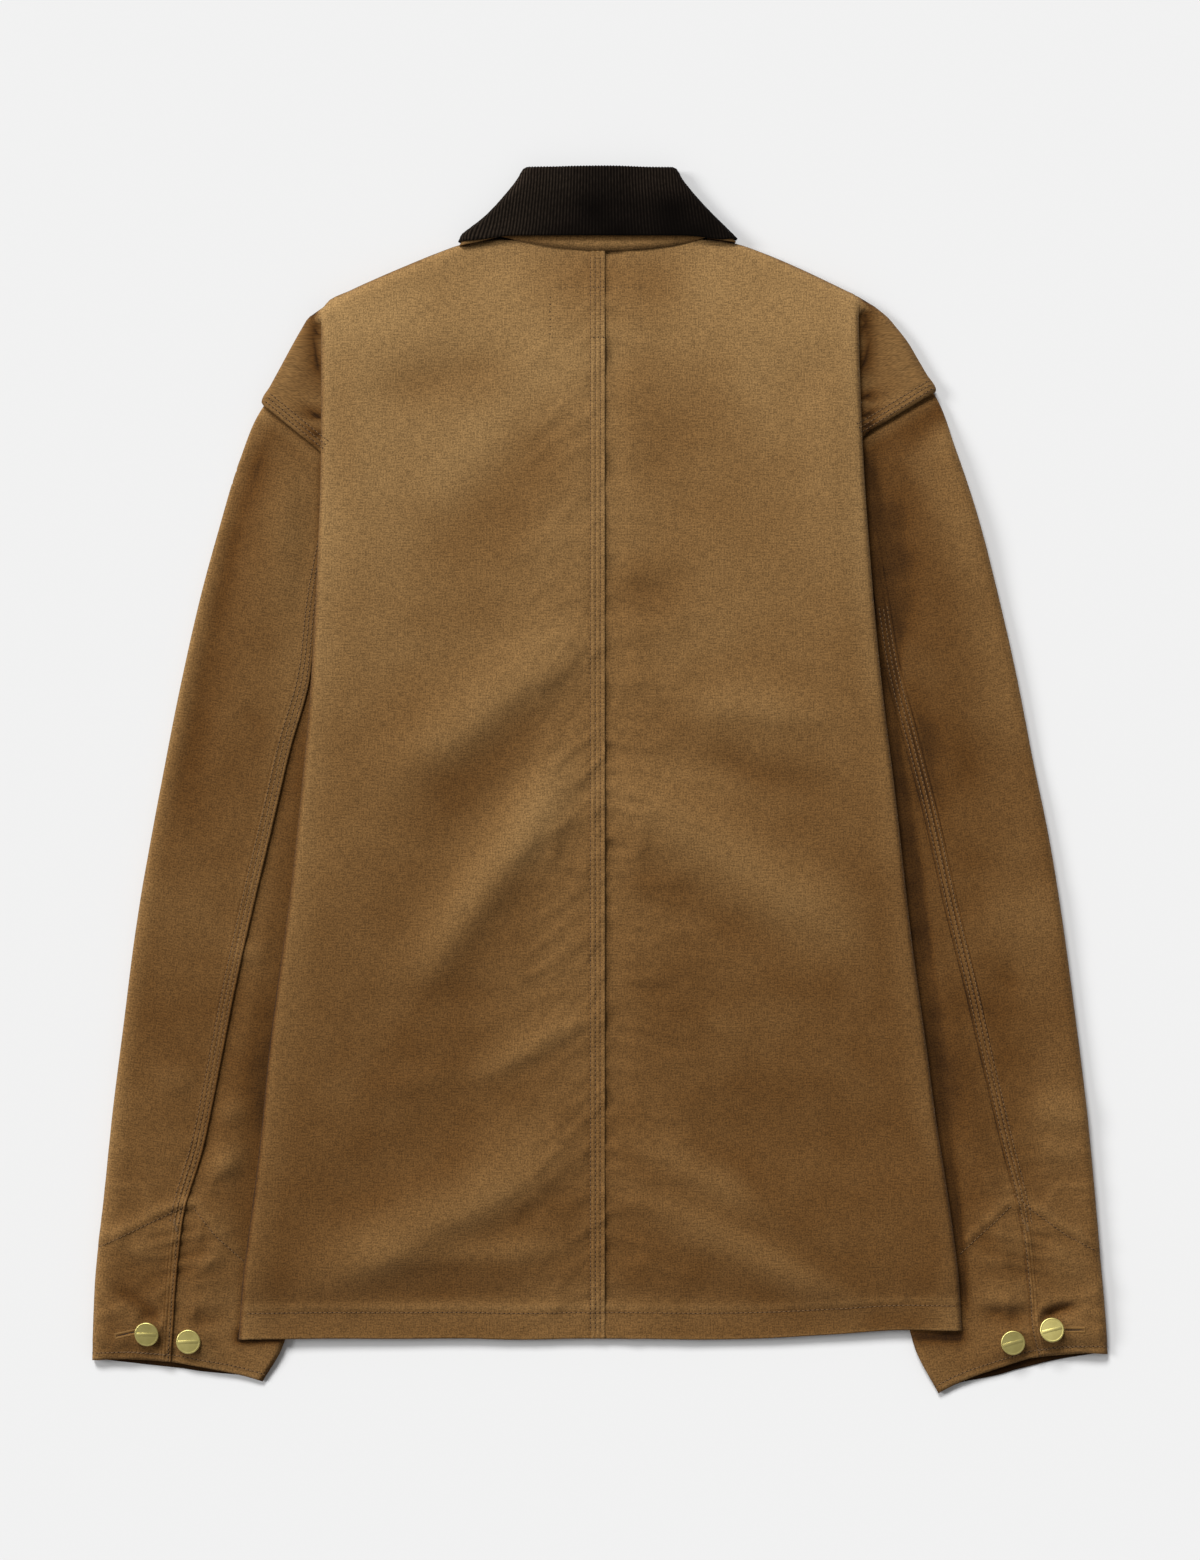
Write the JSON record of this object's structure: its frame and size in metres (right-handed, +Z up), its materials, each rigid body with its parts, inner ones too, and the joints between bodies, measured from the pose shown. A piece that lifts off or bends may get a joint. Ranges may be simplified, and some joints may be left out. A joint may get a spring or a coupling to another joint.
{
  "type": "chore jacket",
  "caption": "Canvas chore jacket laid flat with its back up, long sleeves folded beside the body, corduroy shirt collar, buttoned cuffs and open neck, hem and cuffs.",
  "frame": {"origin": "centre of the bounding box on the surface the jacket lies on", "axes": "+Y from hem to collar, +X to the right seen from above with the back up, +Z up from the surface"},
  "size_m": [0.6854, 0.8272, 0.0192],
  "materials": {
    "canvas": "matte woven cotton duck",
    "corduroy": "matte ribbed corduroy",
    "brass": "satin"
  },
  "bodies": {
    "root": {"back_left": "canvas", "back_right": "canvas", "front_left": "canvas", "front_right": "canvas", "sleeve_left_top": "canvas", "sleeve_left_under": "canvas", "sleeve_right_top": "canvas", "sleeve_right_under": "canvas", "collar_under": "canvas", "collar_upper": "corduroy", "button_left_fastened": "brass", "button_left_spare": "brass", "button_right_fastened": "brass", "button_right_spare": "brass"}
  },
  "joints": []
}
